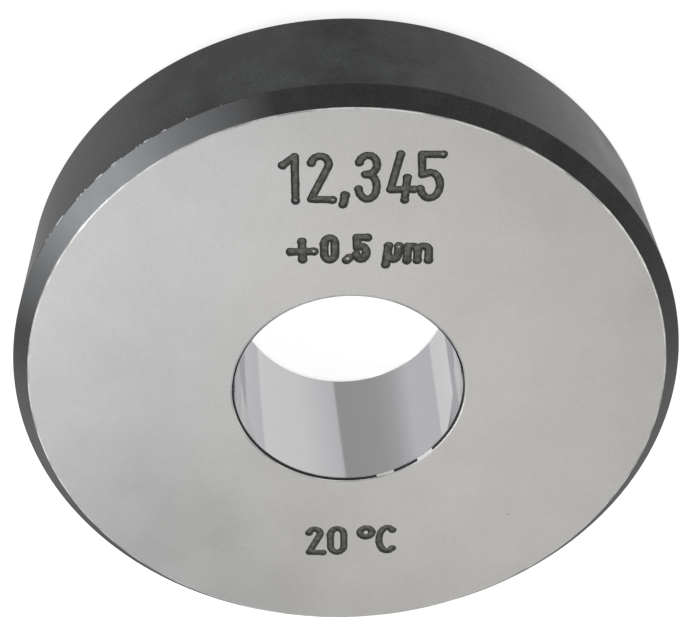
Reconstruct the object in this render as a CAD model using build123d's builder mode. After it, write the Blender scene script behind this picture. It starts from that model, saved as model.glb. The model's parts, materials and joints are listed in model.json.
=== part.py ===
from build123d import *
import os

os.makedirs("parts", exist_ok=True)

# Setting ring for bore gauges, turned and ground from one piece of steel.
# The ring lies on its plain lapped face. Its axis is Z, and that face is at Z = 0.
# All sizes are in millimetres.

# Bore: ground and lapped to the size that the ring carries
bore_diameter = 12.345
bore_lead_in = 0.15

# Body: the outside, the distance between the two lapped faces, and the turned edges
outer_diameter = 36.0
ring_width = 9.2
edge_chamfer = 0.9

bore_radius = bore_diameter / 2
wall = outer_diameter / 2 - bore_radius

# The ring is the half section of its wall, turned once around the axis of the bore
with BuildPart() as setting_ring:
    with BuildSketch(Plane.XZ) as wall_section:
        with Locations((bore_radius, 0)):
            Rectangle(wall, ring_width, align=(Align.MIN, Align.MIN))
        corners_by_radius = wall_section.vertices().group_by(Axis.X)
        # A narrow lead-in at each mouth of the bore, for the gauge's feelers
        chamfer(corners_by_radius[0], bore_lead_in)
        # A 45 degree chamfer around each end of the outside
        chamfer(corners_by_radius[-1], edge_chamfer)
    revolve(axis=Axis.Z)

setting_ring.part.label = "setting_ring"
export_step(setting_ring.part, "parts/setting_ring.step")
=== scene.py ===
import json
from math import atan2, cos, degrees, pi, radians, sin, tan

import bmesh
import bpy
from mathutils import Matrix, Quaternion, Vector, noise

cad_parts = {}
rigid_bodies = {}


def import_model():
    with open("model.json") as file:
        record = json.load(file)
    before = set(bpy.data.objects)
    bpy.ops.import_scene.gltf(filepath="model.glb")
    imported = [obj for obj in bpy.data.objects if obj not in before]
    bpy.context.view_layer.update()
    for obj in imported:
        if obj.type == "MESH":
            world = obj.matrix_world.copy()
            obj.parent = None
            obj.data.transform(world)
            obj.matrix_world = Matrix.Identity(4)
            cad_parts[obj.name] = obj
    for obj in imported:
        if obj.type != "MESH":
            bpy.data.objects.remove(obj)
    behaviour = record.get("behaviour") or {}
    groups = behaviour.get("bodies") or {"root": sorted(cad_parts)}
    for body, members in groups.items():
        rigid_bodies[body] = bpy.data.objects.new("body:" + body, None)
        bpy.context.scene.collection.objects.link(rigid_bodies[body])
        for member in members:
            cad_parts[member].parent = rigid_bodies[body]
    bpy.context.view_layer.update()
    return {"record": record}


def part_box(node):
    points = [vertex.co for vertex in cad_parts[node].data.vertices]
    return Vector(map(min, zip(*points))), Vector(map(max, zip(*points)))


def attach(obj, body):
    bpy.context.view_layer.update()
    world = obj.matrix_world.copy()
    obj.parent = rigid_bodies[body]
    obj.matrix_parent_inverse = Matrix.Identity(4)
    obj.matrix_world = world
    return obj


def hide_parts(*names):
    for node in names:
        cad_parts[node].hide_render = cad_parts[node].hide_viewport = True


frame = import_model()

MM = 0.001
scene = bpy.context.scene
scene.view_settings.view_transform = "Standard"


# Camera
# It looks down on the marked face from the side where the size is engraved, and is
# turned over so that the size reads upright, as the photograph shows it. No lens shift.
camera_place_mm = Vector((-2.63, 51.38, 75.49))
camera_aim_mm = Vector((-0.15, 5.18, 9.20))
camera_roll_deg = 176.25
lens_mm = 80.84

camera = bpy.data.objects.new("camera", bpy.data.cameras.new("camera"))
camera.data.lens = lens_mm
camera.data.clip_start = 5 * MM
camera.location = camera_place_mm * MM
camera.rotation_mode = "QUATERNION"
level_view = (camera_aim_mm - camera_place_mm).to_track_quat("-Z", "Y")
camera.rotation_quaternion = level_view @ Quaternion((0, 0, 1), radians(camera_roll_deg))
scene.collection.objects.link(camera)
scene.camera = camera


# Floor
# A sheet of white paper on a table, big enough to fill every view. The eye sees it as
# the white ground of the photograph, and it keeps the soft shadow of the ring.
floor_size = 3.0
floor_hex = "#E6E6E6"
floor_glow = 0.74


def srgb(hex_colour):
    """Linear RGBA of an sRGB hex colour."""
    parts = [int(hex_colour[i:i + 2], 16) / 255 for i in (1, 3, 5)]
    linear = [p / 12.92 if p <= 0.04045 else ((p + 0.055) / 1.055) ** 2.4 for p in parts]
    return (*linear, 1.0)


def add(tree, kind, settings=(), links=()):
    """Adds a node. Settings name its sockets or properties, and links feed its sockets."""
    node = tree.nodes.new(kind)
    for name, value in dict(settings).items():
        if isinstance(name, int) or name in node.inputs:
            node.inputs[name].default_value = value
        else:
            setattr(node, name, value)
    for name, source in dict(links).items():
        tree.links.new(source, node.inputs[name])
    return node


def new_tree(owner):
    """The emptied node tree of a material or of the world."""
    owner.use_nodes = True
    owner.node_tree.nodes.clear()
    return owner.node_tree


def paper():
    """Matt white paper: scatters light evenly, and glows for the camera so it stays white."""
    material = bpy.data.materials.new("paper")
    tree = new_tree(material)
    ray = add(tree, "ShaderNodeLightPath")
    sheet = add(tree, "ShaderNodeBsdfDiffuse", {"Color": srgb(floor_hex)})
    glow = add(tree, "ShaderNodeEmission", {"Strength": floor_glow})
    seen = add(tree, "ShaderNodeAddShader", links={0: sheet.outputs[0], 1: glow.outputs[0]})
    mix = add(tree, "ShaderNodeMixShader", links={
        0: ray.outputs["Is Camera Ray"], 1: sheet.outputs[0], 2: seen.outputs[0]})
    add(tree, "ShaderNodeOutputMaterial", links={"Surface": mix.outputs[0]})
    return material


def object_from(bm, name, materials):
    """A linked object made of the bmesh, which is freed."""
    mesh = bpy.data.meshes.new(name)
    bm.to_mesh(mesh)
    bm.free()
    for material in materials:
        mesh.materials.append(material)
    thing = bpy.data.objects.new(name, mesh)
    scene.collection.objects.link(thing)
    return thing


bm = bmesh.new()
bmesh.ops.create_grid(bm, x_segments=1, y_segments=1, size=floor_size / 2)
floor = object_from(bm, "floor", [paper()])
floor.visible_glossy = False


# Room and soft boxes
# A pale photo studio. Lapped steel is a mirror, so the cards and walls that stand round the
# table show in it. They are painted in the world, and soft boxes on stands light the ring.
room_hex = "#F6F7FA"
room_level = 0.42
# Tables go round the room in degrees from this azimuth and give a grey or a level of light.
# Heights are those of a direction from the ring: 0 is level and -1 straight down.
tables_turn_deg = 81
horizon = -0.10

# Cards low beside the table, which the bore mirrors as stripes. They lean and stand closer
# together further down, so the stripes slant.
cards_top = -0.62
cards_middle = -0.785
cards_lean = 3.54
cards_spread = 1.8
low_cards = (
    (-180, 1.0), (-150, 1.0), (-138, "#A8A8A8"), (-119, "#B4B4B6"), (-119, "#CECED2"),
    (-92.8, "#CECED2"), (-92.8, "#E2E2E2"), (-41, "#E0E0E0"), (-2.4, "#CDCDD0"), (-2.4, "#A4A4A4"),
    (39, "#A9A9A9"), (58, "#B4B4B5"), (80, "#CECED2"), (114.2, "#CACACF"), (114.2, "#E2E2E2"),
    (146, "#E2E2E2"), (146, "#B8B8BC"), (160, "#B0B0B4"), (172, 1.0), (180, 1.0),
)

# The floor round the table, which the chamfers on the viewer's side mirror
far_floor = (
    (-180, 0.16), (-171, 0.18), (-156, 0.25), (-150, 0.30), (-144, 0.38), (-136, 0.46), (-128, 0.58),
    (-119, 0.70), (-108, 0.60), (-90, 1.0), (120, 1.0), (137, 0.88), (146, 0.84), (155, 0.54),
    (163, 0.36), (171, 0.24), (177, 0.18), (180, 0.16),
)

# The table close to the ring, which its outside mirrors
near_table_below = -0.815
near_table = (
    (-180, 0.45), (-125, 0.60), (-109, 0.74), (-93, 0.64), (-78, 0.60), (-58, 0.44), (-38, 0.42),
    (-19, 0.38), (4, 0.30), (25, 0.42), (45, 0.45), (66, 0.33), (84, 0.38), (107, 0.43),
    (125, 0.40), (139, 0.33), (180, 0.40),
)

# Cards that stand round the room, which the other chamfers mirror, faded out at the top
side_cards_top = 0.72
side_cards_fade = 0.12
side_cards = (
    (-180, 0.42), (-152, 0.42), (-143, 0.58), (-127, 0.58), (-118, 0.36), (-101, 0.44), (-51, 0.42),
    (-36, 0.39), (8, 0.42), (20, 0.47), (32, 0.62), (41, 0.72), (50, 0.70), (62, 0.75), (78, 0.85),
    (100, 0.78), (118, 0.52), (128, 0.50), (136, 1.0), (152, 1.0), (162, 0.42), (180, 0.42),
)

# A white wall low behind the camera, which brightens the face in low views. The table gives
# how much of it stands at each azimuth.
far_wall_top = 0.38
far_wall_fade = 0.14
far_wall_level = 0.80
far_wall = ((-180, 0.0), (-52, 0.0), (-38, 1.0), (44, 1.0), (58, 0.0), (180, 0.0))

world = bpy.data.worlds.new("studio")
scene.world = world
tree = new_tree(world)
ray = add(tree, "ShaderNodeLightPath")
place = add(tree, "ShaderNodeTexCoord").outputs["Generated"]
turned = add(tree, "ShaderNodeMapping", {"Rotation": (0, 0, radians(-tables_turn_deg))}, {
    "Vector": place})
toward = add(tree, "ShaderNodeSeparateXYZ", links={0: turned.outputs[0]})
up = toward.outputs["Z"]
turn = add(tree, "ShaderNodeMath", {"operation": "ARCTAN2"}, {
    0: toward.outputs["Y"], 1: toward.outputs["X"]})
above = add(tree, "ShaderNodeMath", {"operation": "SUBTRACT", 1: cards_middle}, {0: up})
lean = add(tree, "ShaderNodeMath", {"operation": "MULTIPLY_ADD", 1: -cards_lean}, {
    0: above.outputs[0], 2: turn.outputs[0]})
narrow = add(tree, "ShaderNodeMath", {"operation": "MULTIPLY_ADD", 1: -cards_spread, 2: 1.0}, {
    0: above.outputs[0]})
leaned = add(tree, "ShaderNodeMath", {"operation": "DIVIDE"}, {0: lean.outputs[0], 1: narrow.outputs[0]})


def by_azimuth(turn_value, stops):
    """A colour ramp round the room, from stops of degrees and colour or level."""
    share = add(tree, "ShaderNodeMapRange", {"From Min": -pi, "From Max": pi}, {"Value": turn_value})
    ramp = add(tree, "ShaderNodeValToRGB", links={"Fac": share.outputs[0]})
    points = ramp.color_ramp.elements
    while len(points) < len(stops):
        points.new(1.0)
    for point, (azimuth, colour) in zip(points, stops):
        point.position = (azimuth + 180) / 360
        point.color = srgb(colour) if isinstance(colour, str) else (colour, colour, colour, 1)
    return ramp.outputs[0]


room = add(tree, "ShaderNodeBackground", {"Color": srgb(room_hex), "Strength": room_level})
low = add(tree, "ShaderNodeBackground", {"Strength": 1.0}, {
    "Color": by_azimuth(leaned.outputs[0], low_cards)})
fade = add(tree, "ShaderNodeMapRange", {
    "From Min": side_cards_top - side_cards_fade, "From Max": side_cards_top}, {"Value": up})
low_down = add(tree, "ShaderNodeMapRange", {
    "From Min": far_wall_top, "From Max": far_wall_top - far_wall_fade}, {"Value": up})
wall_share = add(tree, "ShaderNodeMath", {"operation": "MULTIPLY"}, {
    0: by_azimuth(turn.outputs[0], far_wall), 1: low_down.outputs[0]})
standing = add(tree, "ShaderNodeMix", {"data_type": "FLOAT", 3: far_wall_level}, {
    0: wall_share.outputs[0], 2: by_azimuth(turn.outputs[0], side_cards)})
side_level = add(tree, "ShaderNodeMix", {"data_type": "FLOAT", 3: room_level}, {
    0: fade.outputs[0], 2: standing.outputs[0]})
side = add(tree, "ShaderNodeBackground", {"Color": srgb(room_hex)}, {"Strength": side_level.outputs[0]})
ground = add(tree, "ShaderNodeBackground", {"Strength": 1.0}, {
    "Color": by_azimuth(turn.outputs[0], far_floor)})
table = add(tree, "ShaderNodeBackground", {"Strength": 1.0}, {
    "Color": by_azimuth(turn.outputs[0], near_table)})
mirrored = side
for top, lower in ((horizon, ground), (cards_top, low), (near_table_below, table)):
    below = add(tree, "ShaderNodeMath", {"operation": "LESS_THAN", 1: top}, {0: up})
    mirrored = add(tree, "ShaderNodeMixShader", links={
        0: below.outputs[0], 1: mirrored.outputs[0], 2: lower.outputs[0]})
lit = add(tree, "ShaderNodeMixShader", links={
    0: ray.outputs["Is Glossy Ray"], 1: room.outputs[0], 2: mirrored.outputs[0]})
white = add(tree, "ShaderNodeBackground", {"Color": (1, 1, 1, 1), "Strength": 1.0})
mix = add(tree, "ShaderNodeMixShader", links={
    0: ray.outputs["Is Camera Ray"], 1: lit.outputs[0], 2: white.outputs[0]})
add(tree, "ShaderNodeOutputWorld", links={"Surface": mix.outputs[0]})


def soft_box(name, azimuth_deg, elevation_deg, distance_mm, size_mm, level, hex_colour):
    """A soft box that faces the ring. At level 1 it looks white."""
    light = bpy.data.lights.new(name, "AREA")
    light.shape = "RECTANGLE"
    light.size = size_mm[0] * MM
    light.size_y = size_mm[1] * MM
    light.energy = level * pi * light.size * light.size_y
    light.color = srgb(hex_colour)[:3]
    turn, rise = radians(azimuth_deg), radians(elevation_deg)
    toward = Vector((cos(rise) * cos(turn), cos(rise) * sin(turn), sin(rise)))
    box = bpy.data.objects.new(name, light)
    box.location = toward * distance_mm * MM
    box.rotation_mode = "QUATERNION"
    box.rotation_quaternion = (-toward).to_track_quat("-Z", "Y")
    scene.collection.objects.link(box)


# The key and the fill light the marked face, and the side box its left chamfer. The window
# and the doors give the light lines along the edge of the face, and the strips soften them.
soft_box("key", -149, 61, 330, (350, 183), 0.60, "#F2F3FF")
soft_box("fill", -78, 53.5, 330, (115, 155), 0.53, "#FFF7EE")
soft_box("side", 160, 16, 280, (176, 110), 0.6, "#EAF0F8")
soft_box("rim_window", -147, 53, 300, (170, 44), 1.7, "#FFFAF0")
soft_box("left_door", 179, 54, 300, (56, 60), 1.6, "#FFFAEE")
soft_box("right_door", -17, 40, 300, (200, 110), 0.8, "#FFFAF2")
soft_box("front_strip", -90, 10, 330, (700, 112), 0.55, "#F6F7FF")
soft_box("back_strip", 45, 74, 330, (330, 100), 0.7, "#FFFDF8")


# Setting ring
# One piece of hardened tool steel, turned and blackened all over. Then both faces and the
# bore are ground and lapped bright, so the black stays on the outside, the chamfers and the
# lead-ins. Handling rubs it through in nicks on the outer edge; on that side the chamfer has a
# painted grey sheen, a painted highlight, and each lead-in two bright spots, painted glints.
# Sizes are in millimetres.
inside_box = 0.001
outer_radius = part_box("setting_ring")[1].x / MM - inside_box
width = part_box("setting_ring")[1].z / MM
bore_radius = frame["record"]["mounts"][0]["dims"]["r_mm"]
edge_chamfer = 0.9
lead_in = 0.15
once_round_mm = 113
turned_steps = 540

# Every edge is just broken with a stone
bore_edge_break = 0.02
mouth_edge_break = 0.045
face_edge_break = 0.05
outer_edge_break = 0.04

# Wear of the edge between face and chamfer, in long dips with small ones on them
wear_depth = 0.06
wear_from = 0.10
wear_length_mm = 1.6
small_wear_mm = 0.8
small_wear = 0.3
wear_slope = 0.3

# Where the black is rubbed: the handled side, where the outer edge wears through in nicks
# and the chamfer has a painted grey sheen, a painted highlight; and two bare spots in each
# lead-in, bright steel painted as glints
wear_and_sheen_at_deg = 134
bare_glint_spots_deg = ((-75, -66), (-52, -42))

# How near two values are to count as the same place or slope, or to be welded
same_place = 0.001
weld_within = 0.0001
same_slope = 0.01


def per_mm(size_mm):
    """The scale of a pattern on Object coordinates whose features are this large."""
    return 1 / (size_mm * MM)


def heading_from_axis(tree, place):
    """The level direction from the axis of the bore to a place."""
    level = add(tree, "ShaderNodeVectorMath", {"operation": "MULTIPLY", 1: (1, 1, 0)}, {0: place})
    return add(tree, "ShaderNodeVectorMath", {"operation": "NORMALIZE"}, {0: level.outputs[0]}).outputs[0]


def round_place(tree, turn_mm, rise):
    """Place for a pattern that runs round the ring. A whole turn counts as turn_mm, and heights
    are multiplied by rise."""
    place = add(tree, "ShaderNodeTexCoord").outputs["Object"]
    height = add(tree, "ShaderNodeVectorMath", {"operation": "MULTIPLY", 1: (0, 0, rise)}, {0: place})
    reach = turn_mm * MM / (2 * pi)
    return add(tree, "ShaderNodeVectorMath", {"operation": "MULTIPLY_ADD", 1: (reach, reach, 0)}, {
        0: heading_from_axis(tree, place), 2: height.outputs[0]}).outputs[0]


def lapped_steel():
    """Steel lapped on a flat plate: satin silver grey, with faint clouds, fine grain and pits.
    The grit leaves marks of about 0.01 mm, which are drawn at 0.14 mm to show."""
    material = bpy.data.materials.new("lapped_steel")
    tree = new_tree(material)
    place = add(tree, "ShaderNodeTexCoord").outputs["Object"]
    clouds = add(tree, "ShaderNodeTexNoise", {"Scale": per_mm(4), "Detail": 3.0}, {"Vector": place})
    grain = add(tree, "ShaderNodeTexNoise", {"Scale": per_mm(0.14), "Detail": 2.0}, {"Vector": place})
    cloudy = add(tree, "ShaderNodeMix", {
        "data_type": "RGBA", 6: srgb("#C6C6C2"), 7: srgb("#DDDDDA")}, {0: clouds.outputs[0]})
    dusty = add(tree, "ShaderNodeMapRange", {"From Min": 0.3, "From Max": 0.7, "To Min": 0.94}, {
        "Value": grain.outputs[0]})
    pits = add(tree, "ShaderNodeTexVoronoi", {"Scale": per_mm(3.2)}, {"Vector": place})
    clean = add(tree, "ShaderNodeMapRange", {
        "From Min": 0.012, "From Max": 0.022, "To Min": 0.45}, {"Value": pits.outputs["Distance"]})
    shade = add(tree, "ShaderNodeMath", {"operation": "MULTIPLY"}, {
        0: dusty.outputs[0], 1: clean.outputs[0]})
    tone = add(tree, "ShaderNodeVectorMath", {"operation": "SCALE"}, {
        0: cloudy.outputs[2], "Scale": shade.outputs[0]})
    satin = add(tree, "ShaderNodeMapRange", {"To Min": 0.27, "To Max": 0.37}, {"Value": clouds.outputs[0]})
    bump = add(tree, "ShaderNodeBump", {"Strength": 0.15, "Distance": 0.004 * MM}, {
        "Height": grain.outputs[0]})
    surface = add(tree, "ShaderNodeBsdfPrincipled", {"Metallic": 1.0}, {
        "Base Color": tone.outputs[0], "Roughness": satin.outputs[0], "Normal": bump.outputs[0]})
    add(tree, "ShaderNodeOutputMaterial", links={"Surface": surface.outputs[0]})
    return material


def bore_steel():
    """Steel lapped to size in the bore: a clear mirror with the finest of lines round it.
    They are drawn at 0.12 mm, some ten times as wide as the real ones, to show at all."""
    material = bpy.data.materials.new("bore_steel")
    tree = new_tree(material)
    place = add(tree, "ShaderNodeTexCoord").outputs["Object"]
    lines = add(tree, "ShaderNodeTexNoise", {"Scale": per_mm(0.12), "Detail": 2.0}, {
        "Vector": round_place(tree, 1.0, 1.0)})
    haze = add(tree, "ShaderNodeTexNoise", {"Scale": per_mm(3)}, {"Vector": place})
    gloss = add(tree, "ShaderNodeMapRange", {"To Min": 0.03, "To Max": 0.08}, {"Value": haze.outputs[0]})
    bump = add(tree, "ShaderNodeBump", {"Strength": 0.04, "Distance": 0.002 * MM}, {
        "Height": lines.outputs[0]})
    surface = add(tree, "ShaderNodeBsdfPrincipled", {
        "Base Color": srgb("#DCDCDD"), "Metallic": 1.0}, {
        "Roughness": gloss.outputs[0], "Normal": bump.outputs[0]})
    add(tree, "ShaderNodeOutputMaterial", links={"Surface": surface.outputs[0]})
    return material


def toward_wear_and_sheen(tree, from_cos, to_cos):
    """How near a place is to the worn side, which carries the real wear and the painted sheen:
    0 and 1 at these cosines of the angle between them.
    """
    place = add(tree, "ShaderNodeTexCoord").outputs["Object"]
    wear_and_sheen_side = (cos(radians(wear_and_sheen_at_deg)), sin(radians(wear_and_sheen_at_deg)), 0)
    near = add(tree, "ShaderNodeVectorMath", {"operation": "DOT_PRODUCT", 1: wear_and_sheen_side}, {
        0: heading_from_axis(tree, place)})
    return add(tree, "ShaderNodeMapRange", {"From Min": from_cos, "From Max": to_cos}, {
        "Value": near.outputs["Value"]}).outputs[0]


def black_oxide(name, dark_hex, light_hex, roughness, ior, streak_mm, rubbed=0.0):
    """Blackened steel: a thin dark oxide, satin, mottled and streaked over the turning lines.
    Rubbed is how strongly a grey metal sheen is painted on the worn side, a painted highlight.
    The oxide's crystals and the turning lines are finer than the 0.13 and 0.15 mm at which
    they are drawn."""
    material = bpy.data.materials.new(name)
    tree = new_tree(material)
    place = add(tree, "ShaderNodeTexCoord").outputs["Object"]
    stains = add(tree, "ShaderNodeTexNoise", {"Scale": per_mm(2.4), "Detail": 3.0, "Roughness": 0.55}, {
        "Vector": place})
    streaks = add(tree, "ShaderNodeTexNoise", {"Scale": per_mm(streak_mm), "Detail": 2.0}, {
        "Vector": round_place(tree, once_round_mm, 0.3)})
    grain = add(tree, "ShaderNodeTexNoise", {"Scale": per_mm(0.13), "Detail": 1.0}, {"Vector": place})
    mottle = add(tree, "ShaderNodeMix", {"data_type": "FLOAT", 0: 0.35}, {
        2: stains.outputs[0], 3: streaks.outputs[0]})
    spread = add(tree, "ShaderNodeMapRange", {"From Min": 0.34, "From Max": 0.66}, {
        "Value": mottle.outputs[0]})
    tone = add(tree, "ShaderNodeMix", {
        "data_type": "RGBA", 6: srgb(dark_hex), 7: srgb(light_hex)}, {0: spread.outputs[0]})
    pepper = add(tree, "ShaderNodeMapRange", {
        "From Min": 0.3, "From Max": 0.7, "To Min": 0.45, "To Max": 1.55}, {"Value": grain.outputs[0]})
    peppered = add(tree, "ShaderNodeVectorMath", {"operation": "SCALE"}, {
        0: tone.outputs[2], "Scale": pepper.outputs[0]})
    satin = add(tree, "ShaderNodeMapRange", {"To Min": roughness - 0.06, "To Max": roughness + 0.06}, {
        "Value": spread.outputs[0]})
    # Painted highlight: towards the worn side the colour turns to a grey sheen (#A9ABAC) and to metal
    sheen_share = add(tree, "ShaderNodeMath", {"operation": "MULTIPLY", 1: rubbed}, {
        0: toward_wear_and_sheen(tree, 0.845, 1.0)})
    sheened_tone = add(tree, "ShaderNodeMix", {"data_type": "RGBA", 7: srgb("#A9ABAC")}, {
        0: sheen_share.outputs[0], 6: peppered.outputs[0]})
    lines = add(tree, "ShaderNodeTexNoise", {"Scale": per_mm(0.15), "Detail": 2.0}, {
        "Vector": round_place(tree, 2.0, 1.0)})
    bump = add(tree, "ShaderNodeBump", {"Strength": 0.12, "Distance": 0.004 * MM}, {
        "Height": lines.outputs[0]})
    surface = add(tree, "ShaderNodeBsdfPrincipled", {"IOR": ior}, {
        "Base Color": sheened_tone.outputs[2], "Metallic": sheen_share.outputs[0], "Roughness": satin.outputs[0],
        "Normal": bump.outputs[0]})
    add(tree, "ShaderNodeOutputMaterial", links={"Surface": surface.outputs[0]})
    return material


def worn_oxide():
    """The black on the outer edge, rubbed through to light steel in nicks on the worn side."""
    material = bpy.data.materials.new("worn_black_oxide")
    tree = new_tree(material)
    place = add(tree, "ShaderNodeTexCoord").outputs["Object"]
    nicks = add(tree, "ShaderNodeTexNoise", {"Scale": per_mm(0.5), "Detail": 4.0, "Roughness": 0.7}, {
        "Vector": place})
    side = add(tree, "ShaderNodeMapRange", {"To Max": 0.18}, {"Value": toward_wear_and_sheen(tree, 0.91, 0.98)})
    wear = add(tree, "ShaderNodeMath", {"operation": "ADD"}, {0: nicks.outputs[0], 1: side.outputs[0]})
    bare = add(tree, "ShaderNodeMapRange", {"From Min": 0.66, "From Max": 0.74}, {"Value": wear.outputs[0]})
    tone = add(tree, "ShaderNodeMix", {
        "data_type": "RGBA", 6: srgb("#2C2C2B"), 7: srgb("#DADADC")}, {0: bare.outputs[0]})
    surface = add(tree, "ShaderNodeBsdfPrincipled", {"Roughness": 0.35}, {
        "Base Color": tone.outputs[2], "Metallic": bare.outputs[0]})
    add(tree, "ShaderNodeOutputMaterial", links={"Surface": surface.outputs[0]})
    return material


def bare_steel(name, dull_hex, bright_hex, roughness, uneven):
    """Bare steel where the black is ground or rubbed away, and the bright steel of the lead-in
    spots and pips that are painted glints: bright, with small nicks and dull stretches. The
    nicks are drawn at 0.25 mm, a few times their real size."""
    material = bpy.data.materials.new(name)
    tree = new_tree(material)
    place = add(tree, "ShaderNodeTexCoord").outputs["Object"]
    nicks = add(tree, "ShaderNodeTexNoise", {"Scale": per_mm(0.25), "Detail": 2.0}, {"Vector": place})
    dulled = add(tree, "ShaderNodeTexNoise", {"Scale": per_mm(1.4), "Detail": 2.0}, {"Vector": place})
    bright = add(tree, "ShaderNodeMapRange", {"From Min": 0.42, "From Max": 0.58}, {
        "Value": dulled.outputs[0]})
    tone = add(tree, "ShaderNodeMix", {
        "data_type": "RGBA", 6: srgb(dull_hex), 7: srgb(bright_hex)}, {0: bright.outputs[0]})
    gloss = add(tree, "ShaderNodeMapRange", {"To Min": roughness - uneven, "To Max": roughness + uneven}, {
        "Value": nicks.outputs[0]})
    bump = add(tree, "ShaderNodeBump", {"Strength": 0.3, "Distance": 0.006 * MM}, {
        "Height": nicks.outputs[0]})
    surface = add(tree, "ShaderNodeBsdfPrincipled", {"Metallic": 1.0}, {
        "Base Color": tone.outputs[2], "Roughness": gloss.outputs[0], "Normal": bump.outputs[0]})
    add(tree, "ShaderNodeOutputMaterial", links={"Surface": surface.outputs[0]})
    return material


def milled_steel(name, dark_hex, light_hex, roughness):
    """The engraver's cut: rough steel in dark grey, uneven from the cutter's steps, which
    are drawn at 0.24 mm, several times their real length."""
    material = bpy.data.materials.new(name)
    tree = new_tree(material)
    place = add(tree, "ShaderNodeTexCoord").outputs["Object"]
    steps = add(tree, "ShaderNodeTexNoise", {"Scale": per_mm(0.24), "Detail": 3.0}, {"Vector": place})
    spread = add(tree, "ShaderNodeMapRange", {"From Min": 0.3, "From Max": 0.7}, {
        "Value": steps.outputs[0]})
    tone = add(tree, "ShaderNodeMix", {
        "data_type": "RGBA", 6: srgb(dark_hex), 7: srgb(light_hex)}, {0: spread.outputs[0]})
    bump = add(tree, "ShaderNodeBump", {"Strength": 0.5, "Distance": 0.02 * MM}, {
        "Height": steps.outputs[0]})
    surface = add(tree, "ShaderNodeBsdfPrincipled", {"Metallic": 0.6, "Roughness": roughness}, {
        "Base Color": tone.outputs[2], "Normal": bump.outputs[0]})
    add(tree, "ShaderNodeOutputMaterial", links={"Surface": surface.outputs[0]})
    return material


finishes = {
    "lapped": lapped_steel(),
    "bore": bore_steel(),
    "outside": black_oxide("black_oxide", "#131517", "#404344", 0.30, 1.5, 1.2),
    # The chamfer's black has a painted grey sheen on its worn side, which stands for a highlight
    "chamfer": black_oxide("black_oxide_chamfer_painted_sheen", "#181817", "#282825", 0.32, 1.6, 0.45, rubbed=0.77),
    "face_edge": bare_steel("bare_edge", "#B4B4B2", "#E2E2DE", 0.30, 0.1),
    "bore_edge": bare_steel("bare_bore_edge", "#C4C4C2", "#DCDCDA", 0.25, 0.1),
    "outer_edge": worn_oxide(),
    "lead_in": black_oxide("black_oxide_lead_in", "#141413", "#222220", 0.12, 1.6, 0.45),
    # Bare spots in the lead-ins, in bright steel: painted glints, placed where the glints fall
    "bare_glint_lead_in": bare_steel("bare_glint_lead_in", "#EEEDE8", "#F8F6F0", 0.20, 0.05),
    # The cut is dark grey, and its sloping sides are darker than its floor: painted shade on the sides
    "shaded_cut_side": milled_steel("milled_side_painted_shade", "#424240", "#5A5A57", 0.55),
    "cut_floor": milled_steel("milled_floor", "#4C4C49", "#807F79", 0.50),
    # The pips are bare steel, light against the dark cut, which paints the glint of the cutter's tip
    "pip": bare_steel("cutter_pip_glint", "#BEBEBB", "#D6D6D3", 0.45, 0.1),
}
slots = {name: index for index, name in enumerate(finishes)}

# The section of the wall, bevelled as the solid is and with every edge just broken, is spun
# round the axis
bm = bmesh.new()
corners = [bm.verts.new((x, 0, z)) for x, z in (
    (bore_radius, 0), (outer_radius, 0), (outer_radius, width), (bore_radius, width))]
bm.faces.new(corners)
for reached, size in ((bore_radius, lead_in), (outer_radius, edge_chamfer)):
    corners = [v for v in bm.verts if abs(v.co.x - reached) < same_place]
    bmesh.ops.bevel(bm, geom=corners, affect="VERTICES", offset=size, offset_type="OFFSET",
                    segments=1, profile=0.5, material=-1)
for reached, size in (
        (bore_radius, bore_edge_break), (bore_radius + lead_in, mouth_edge_break),
        (outer_radius - edge_chamfer, face_edge_break), (outer_radius, outer_edge_break)):
    corners = [v for v in bm.verts if abs(v.co.x - reached) < same_place]
    bmesh.ops.bevel(bm, geom=corners, affect="VERTICES", offset=size, offset_type="OFFSET",
                    segments=2, profile=0.5, material=-1)
bmesh.ops.delete(bm, geom=list(bm.faces), context="FACES_ONLY")
bmesh.ops.spin(bm, geom=list(bm.verts) + list(bm.edges), cent=(0, 0, 0), axis=(0, 0, 1),
               angle=2 * pi, steps=turned_steps, use_merge=True, use_duplicate=False)
bmesh.ops.remove_doubles(bm, verts=bm.verts, dist=weld_within)
bmesh.ops.recalc_face_normals(bm, faces=bm.faces)

# The edge between face and chamfer wears down in places: its line on the face moves inwards,
# and its lower line moves a little way down the chamfer
for v in bm.verts:
    reach = v.co.xy.length
    if abs(reach - (outer_radius - edge_chamfer)) < 2 * face_edge_break:
        spot = v.co.xy.to_3d()
        rubbed = noise.noise(spot / wear_length_mm) + small_wear * noise.noise(spot / small_wear_mm)
        depth = max(0, rubbed - wear_from) * wear_depth
        if min(v.co.z, width - v.co.z) < same_place:
            v.co.xy *= 1 - depth / reach
        else:
            v.co.xy *= 1 + depth * wear_slope / reach
            v.co.z += depth * wear_slope * (1 if v.co.z < width / 2 else -1)

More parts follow.
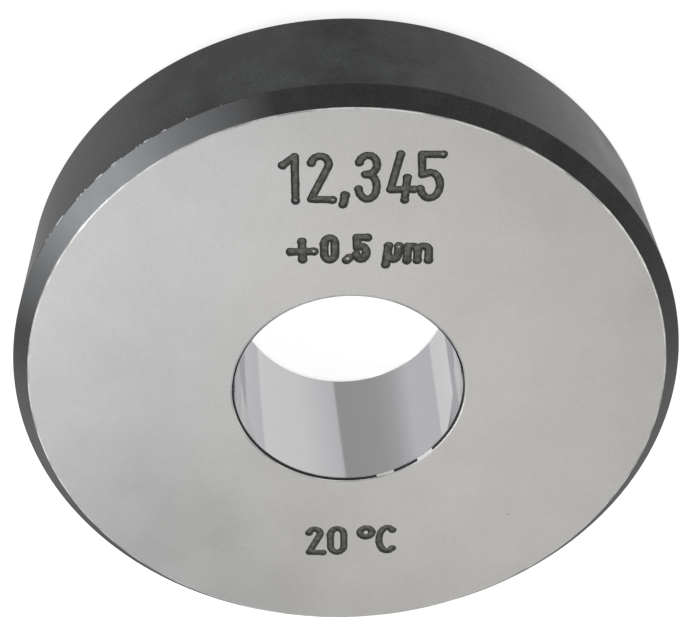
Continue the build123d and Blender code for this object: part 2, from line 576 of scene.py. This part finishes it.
# Each face of the mesh takes its finish from where it lies and how it slopes
for face in bm.faces:
    middle = face.calc_center_median()
    reach = middle.xy.length
    inner = reach < (bore_radius + outer_radius) / 2
    slope = abs(face.normal.z)
    if slope > 1 - same_slope:
        finish = "lapped"
    elif slope < same_slope:
        finish = "bore" if inner else "outside"
    elif abs(slope - cos(pi / 4)) > same_slope:
        on_face_edge = reach < outer_radius - edge_chamfer / 2
        finish = "bore_edge" if inner else "face_edge" if on_face_edge else "outer_edge"
    elif inner:
        # Lead-in faces in the bare spots take the bright steel that is painted as glints
        heading_deg = degrees(atan2(middle.y, middle.x))
        bare = any(start < heading_deg < end for start, end in bare_glint_spots_deg)
        finish = "bare_glint_lead_in" if bare else "lead_in"
    else:
        finish = "chamfer"
    face.material_index = slots[finish]
    face.smooth = finish != "lapped"
blank = object_from(bm, "blank", finishes.values())


# Engraving
# The size of the bore and its deviation are cut into the marked face in single strokes, with
# a pointed cutter that leaves sloping sides and round ends. Below stands the reference
# temperature.
stroke_depth = 0.10
cutter_angle_deg = 42
cutter_sides = 20

# A stroke is a little wider at its ends, where the cutter dwells. What the cutter clears goes
# on above the face, and it moves along lines and arcs in short steps.
end_widening = 0.05
clear_height = 0.06
longest_step = 0.4
arc_step_deg = 24

# How far the cutter shakes, over what length, and the seed that repeats it in every run
shake_mm = 0.028
shake_size_mm = 0.2
shake_seed = 7

# Pips of steel are left standing in some strokes, with their feet in the floor. Their light
# steel tone is a painted glint from the cutter's tip.
pip_height = 0.06
pip_foot = 0.05
pip_taper = 0.6
pip_zone = 1.1

# The engraving stays clear of the rims, and edges from this angle on look sharp
clear_of_rims = 1.0
just_below = 0.005
sharp_from_deg = 30


def arc(x, y, rx, ry, start, end):
    """Points of an elliptic arc on a character's grid."""
    steps = max(3, round(abs(end - start) / arc_step_deg))
    angles = [radians(start + (end - start) * i / steps) for i in range(steps + 1)]
    return [(x + rx * cos(a), y + ry * sin(a)) for a in angles]


# Each character is a list of strokes on a grid, which starts at its left end and base line
grid_height = 10
characters = {
    "0": [arc(2.1, 7.4, 2.1, 2.6, 180, 0) + arc(2.1, 2.6, 2.1, 2.6, 0, -180) + [(0, 7.4)]],
    "1": [[(0, 8.1), (2.4, 10), (2.4, 0)]],
    "2": [arc(1.85, 8.2, 1.75, 1.8, 170, -25) + [(0, 0.3), (4.3, 0)]],
    "3": [arc(1.85, 7.9, 1.8, 2.1, 165, -70) + [(1.4, 5.7)],
          [(1.4, 5.7)] + arc(1.8, 2.85, 1.85, 2.85, 72, -170)],
    "4": [[(2.0, 10.1), (0.1, 2.1), (4.8, 2.1)], [(3.4, 4.8), (3.0, -0.3)]],
    "5": [[(4.4, 9.9), (0.2, 10), (0.4, 5.4)] + arc(2.0, 2.95, 2.0, 2.95, 115, -165)],
    ",": [[(0.68, 1.1), (0.32, -1.1)], [(0.85, 1.0), (0.55, -0.4)]],
    ".": [[(0.2, -0.3), (1.2, 0.7)]],
    "+": [[(0, 4), (9, 4)], [(4.5, 8.6), (4.6, 0.4)]],
    "µ": [[(1.0, 5.9), (0, -2.7)], arc(2.8, 1.9, 2.0, 2.3, 180, 360) + [(5.0, 5.7)]],
    "m": [[(0.2, 5.4), (0, -1)], arc(2.1, 3.6, 2.0, 1.8, 180, 0) + [(4.1, -1)],
          arc(6.3, 3.4, 2.2, 2.0, 180, 0) + [(8.5, -1)]],
    "°": [arc(1.9, 8.1, 1.9, 1.9, 0, 360)],
    "C": [arc(2.6, 5.0, 2.6, 5.0, 50, 310)],
}

# Each row has the height of its characters, their base line, the width of a stroke, and each
# character with its left end
rows = (
    (2.48, 12.04, 0.43, (("1", -3.24), ("2", -1.88), (",", -0.38), ("3", 0.47), ("4", 2.02), ("5", 3.50))),
    (1.30, 8.52, 0.47, (("+", -2.95), ("0", -1.25), (".", -0.15), ("5", 0.36), ("µ", 1.87), ("m", 2.95))),
    (1.85, -11.75, 0.43, (("2", -2.30), ("0", -1.05), ("°", 0.65), ("C", 1.75))),
)

# Each pip has its place and the radius of its foot
pips = (
    (-2.64, 12.04, 0.08), (-0.81, 12.04, 0.08), (4.58, 14.50, 0.08),
    (-1.78, 9.04, 0.11), (-0.06, 8.55, 0.14), (2.52, 9.22, 0.09),
)


def cone_object(name, start, end, radii, bottom, top):
    """A cone standing on the cut, stretched from start to end, as an object."""
    travel = Vector(end) - Vector(start)
    heading = Matrix.Rotation(travel.angle_signed(Vector((1, 0)), 0), 4, "Z")
    bm = bmesh.new()
    bmesh.ops.create_cone(bm, cap_ends=True, segments=cutter_sides, radius1=radii[0],
                          radius2=radii[1], depth=top - bottom,
                          matrix=Matrix.Rotation(pi / cutter_sides, 4, "Z"))
    front = [v for v in bm.verts if v.co.x > 0]
    bmesh.ops.translate(bm, verts=front, vec=(travel.length, 0, 0))
    place = Matrix.Translation((*start, (top + bottom) / 2)) @ heading
    bmesh.ops.transform(bm, matrix=place, verts=bm.verts)
    for v in bm.verts:
        shake = noise.noise_vector(v.co.xy.to_3d() / shake_size_mm) * shake_mm
        v.co.xy += shake.xy
    return object_from(bm, name, [])


def steps_along(points):
    """Pairs of points along a stroke, none further apart than the longest step."""
    for start, end in zip(points, points[1:]):
        start, end = Vector(start), Vector(end)
        count = max(1, round((end - start).length / longest_step))
        for i in range(count):
            yield start.lerp(end, i / count), start.lerp(end, (i + 1) / count)


milled_floor = width - stroke_depth
milled_top = width + clear_height
widening = 1 / tan(radians(cutter_angle_deg))


def cutter_path(start, end, path_width):
    """The space that the cutter clears on its way from start to end."""
    radii = (path_width / 2 - stroke_depth * widening, path_width / 2 + clear_height * widening)
    path = cone_object("path", start, end, radii, milled_floor, milled_top)
    scene.collection.objects.unlink(path)
    cutter_paths.objects.link(path)


noise.seed_set(shake_seed)
cutter_paths = bpy.data.collections.new("cutter_paths")
for height, base, stroke_width, places in rows:
    unit = height / grid_height
    for character, left in places:
        for stroke in characters[character]:
            points = [(left + x * unit, base + y * unit) for x, y in stroke]
            for start, end in steps_along(points):
                cutter_path(start, end, stroke_width)
            for end in (points[0], points[-1]):
                cutter_path(end, end, stroke_width + end_widening)
standing_pips = bpy.data.collections.new("standing_pips")
for x, y, radius in pips:
    pip = cone_object("pip", (x, y), (x, y), (radius, radius * pip_taper),
                      milled_floor - pip_foot, milled_floor + pip_height)
    scene.collection.objects.unlink(pip)
    standing_pips.objects.link(pip)

# The characters are cut out of the blank, and the pips are left standing on their floor
for operation, tools in (("DIFFERENCE", cutter_paths), ("UNION", standing_pips)):
    milling = blank.modifiers.new(tools.name, "BOOLEAN")
    milling.operation = operation
    milling.solver = "MANIFOLD"
    milling.operand_type = "COLLECTION"
    milling.collection = tools
milled = blank.evaluated_get(bpy.context.evaluated_depsgraph_get())
bm = bmesh.new()
bm.from_mesh(milled.to_mesh())
milled.to_mesh_clear()
for tool in [blank, *cutter_paths.objects, *standing_pips.objects]:
    bpy.data.objects.remove(tool)

# Faces between the rims and below the marked face belong to the engraving
for face in bm.faces:
    middle = face.calc_center_median()
    reach = middle.xy.length
    sunk = width - middle.z
    on_land = bore_radius + clear_of_rims < reach < outer_radius - edge_chamfer - clear_of_rims
    if not on_land or not just_below < sunk < width / 2:
        continue
    on_pip = any((middle.xy - Vector((x, y))).length < radius * pip_zone for x, y, radius in pips)
    # Pip faces take the light steel that paints the tip's glint
    if on_pip and sunk < stroke_depth - just_below:
        finish = "pip"
    else:
        # Sloping sides of the cut take the darker grey, which is painted shade
        finish = "cut_floor" if face.normal.z > 1 - same_slope else "shaded_cut_side"
    face.material_index = slots[finish]
    face.smooth = False
for edge in bm.edges:
    one_finish = len({face.material_index for face in edge.link_faces}) == 1
    edge.smooth = one_finish and edge.calc_face_angle(0) < radians(sharp_from_deg)

# The sizes so far are millimetres, and Blender's are metres
bmesh.ops.scale(bm, vec=(MM, MM, MM), verts=bm.verts)
ring = object_from(bm, "ring", finishes.values())

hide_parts("setting_ring")
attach(ring, "root")
